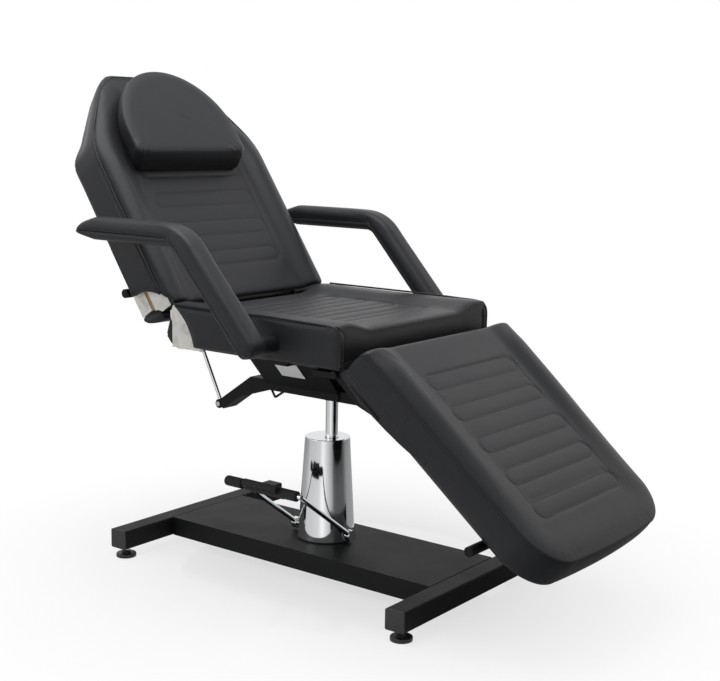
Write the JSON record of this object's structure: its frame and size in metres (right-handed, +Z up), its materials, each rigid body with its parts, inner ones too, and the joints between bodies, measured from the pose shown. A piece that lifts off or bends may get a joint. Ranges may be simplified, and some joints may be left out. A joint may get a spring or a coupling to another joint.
{
  "type": "tattoo chair",
  "caption": "Hydraulic tattoo chair, black padded seat, reclining back with pillow, leg rest and swing-up arms on an H base.",
  "frame": {"origin": "middle of the footprint of the whole chair, on the floor", "axes": "+Z up, +Y from the leg rest towards the head of the backrest, +X to the sitter's left"},
  "size_m": [0.802, 1.4664, 1.212],
  "materials": {
    "upholstery": "satin",
    "frame_black": "matte",
    "pump_iron": "matte",
    "chrome": "polished",
    "zinc_fasteners": "satin",
    "bare_plate": "satin",
    "spring_tube": "gloss",
    "black_plastic": "matte",
    "black_rubber": "matte",
    "plywood": "raw"
  },
  "bodies": {
    "base": {"base_box": "frame_black", "cross_tubes": "frame_black", "tube_end_caps": "black_plastic", "levelling_feet": "black_plastic", "foot_lock_nuts": "zinc_fasteners", "pump_casting": "pump_iron", "pump_barrel": "pump_iron", "rod_wiper_seal": "black_rubber", "pump_flange_bolts": "zinc_fasteners", "pump_shroud": "chrome"},
    "pedal": {"pedal_pivots": "chrome", "pedal_arms": "chrome", "foot_bar": "black_rubber"},
    "ram": {"piston_rod": "chrome"},
    "seat": {"swivel_hub": "frame_black", "spine_tube": "frame_black", "spring_lugs": "frame_black", "elbow_gussets": "frame_black", "under_hook": "frame_black", "frame_pins": "zinc_fasteners", "support_pan": "frame_black", "seat_bolts": "zinc_fasteners", "blank_plate": "bare_plate", "seat_board": "plywood", "seat_cushion": "upholstery", "seat_side_panel_left": "upholstery", "seat_side_panel_right": "upholstery", "back_hinge_posts": "frame_black", "leg_hinge_ears": "frame_black", "leg_hinge_bolts": "zinc_fasteners", "arm_brackets": "frame_black", "arm_pivot_bolts": "chrome"},
    "backrest": {"back_board": "plywood", "back_cushion": "upholstery", "back_rear_pad": "upholstery", "back_side_panel_left": "upholstery", "back_side_panel_right": "upholstery", "back_hinge_brackets": "frame_black", "back_bolts": "zinc_fasteners", "back_spring_bracket": "frame_black", "back_release_ears": "frame_black"},
    "back_lever": {"back_release_bar": "black_rubber"},
    "pillow": {"pillow": "upholstery"},
    "back_strut_rod": {"back_spring_rod": "chrome"},
    "back_strut_tube": {"back_spring_cylinder": "spring_tube"},
    "leg_rest": {"leg_board": "plywood", "leg_cushion": "upholstery", "leg_hinge_arms": "frame_black", "leg_bolts": "zinc_fasteners", "leg_spring_bracket": "frame_black", "leg_release_ears": "frame_black"},
    "leg_lever": {"leg_release_bar": "black_rubber"},
    "leg_strut_rod": {"leg_spring_rod": "chrome"},
    "leg_strut_tube": {"leg_spring_cylinder": "spring_tube"},
    "arm_left": {"arm_pad_left": "upholstery", "arm_base_left": "upholstery", "arm_hub_left": "zinc_fasteners"},
    "arm_right": {"arm_pad_right": "upholstery", "arm_base_right": "upholstery", "arm_hub_right": "zinc_fasteners"}
  },
  "joints": [
    {"name": "lift", "type": "slide", "parent": "base", "child": "ram", "axis": [0, 0, 1], "range_m": [-0.085, 0.07]},
    {"name": "swivel", "type": "hinge", "parent": "ram", "child": "seat", "pos_m": [0, 0.0418, 0.45], "axis": [0, 0, 1], "continuous": true},
    {"name": "pedal_press", "type": "hinge", "parent": "base", "child": "pedal", "pos_m": [0, 0.0537, 0.091], "axis": [0, -1, 0], "range_deg": [0, 24], "stiffness_Nm_per_rad": 8, "springref_deg": -28.65},
    {"name": "recline", "type": "hinge", "parent": "seat", "child": "backrest", "pos_m": [0, 0.3255, 0.63], "axis": [-1, 0, 0], "range_deg": [0, 56]},
    {"name": "leg_raise", "type": "hinge", "parent": "seat", "child": "leg_rest", "pos_m": [0, -0.1925, 0.556], "axis": [-1, 0, 0], "range_deg": [-12, 40.3]},
    {"name": "arm_left_swing", "type": "hinge", "parent": "seat", "child": "arm_left", "pos_m": [0, -0.0245, 0.606], "axis": [1, 0, 0], "range_deg": [0, 100]},
    {"name": "arm_right_swing", "type": "hinge", "parent": "seat", "child": "arm_right", "pos_m": [0, -0.0245, 0.606], "axis": [1, 0, 0], "range_deg": [0, 100]},
    {"name": "pillow_off", "type": "slide", "parent": "backrest", "child": "pillow", "axis": [0, -0.829, 0.5592], "range_m": [0, 0.08]},
    {"name": "back_release", "type": "hinge", "parent": "backrest", "child": "back_lever", "pos_m": [0, 0.48122, 0.7153], "axis": [-1, 0, 0], "range_deg": [0, 12], "stiffness_Nm_per_rad": 4, "springref_deg": -20.05},
    {"name": "leg_release", "type": "hinge", "parent": "leg_rest", "child": "leg_lever", "pos_m": [0, -0.51898, 0.27847], "axis": [-1, 0, 0], "range_deg": [0, 12], "stiffness_Nm_per_rad": 4, "springref_deg": -20.05},
    {"name": "back_spring_swing", "type": "hinge", "parent": "seat", "child": "back_strut_rod", "pos_m": [0, 0.4105, 0.362], "axis": [-1, 0, 0], "range_deg": [0, 41]},
    {"name": "back_spring_slide", "type": "slide", "parent": "back_strut_rod", "child": "back_strut_tube", "axis": [0, 0.4446, 0.8957], "range_m": [-0.236, 0]},
    {"name": "leg_spring_swing", "type": "hinge", "parent": "seat", "child": "leg_strut_rod", "pos_m": [0, -0.1225, 0.439], "axis": [-1, 0, 0], "range_deg": [-9, 29.5]},
    {"name": "leg_spring_slide", "type": "slide", "parent": "leg_strut_rod", "child": "leg_strut_tube", "axis": [0, -0.9865, -0.1638], "range_m": [-0.0245, 0.081]}
  ],
  "couplings": [
    {"joint": "back_spring_swing", "follows": "recline", "ratio": 0.72},
    {"joint": "back_spring_slide", "follows": "recline", "m_per_rad": -0.2406},
    {"joint": "leg_spring_swing", "follows": "leg_raise", "ratio": 0.725},
    {"joint": "leg_spring_slide", "follows": "leg_raise", "m_per_rad": 0.1146}
  ]
}
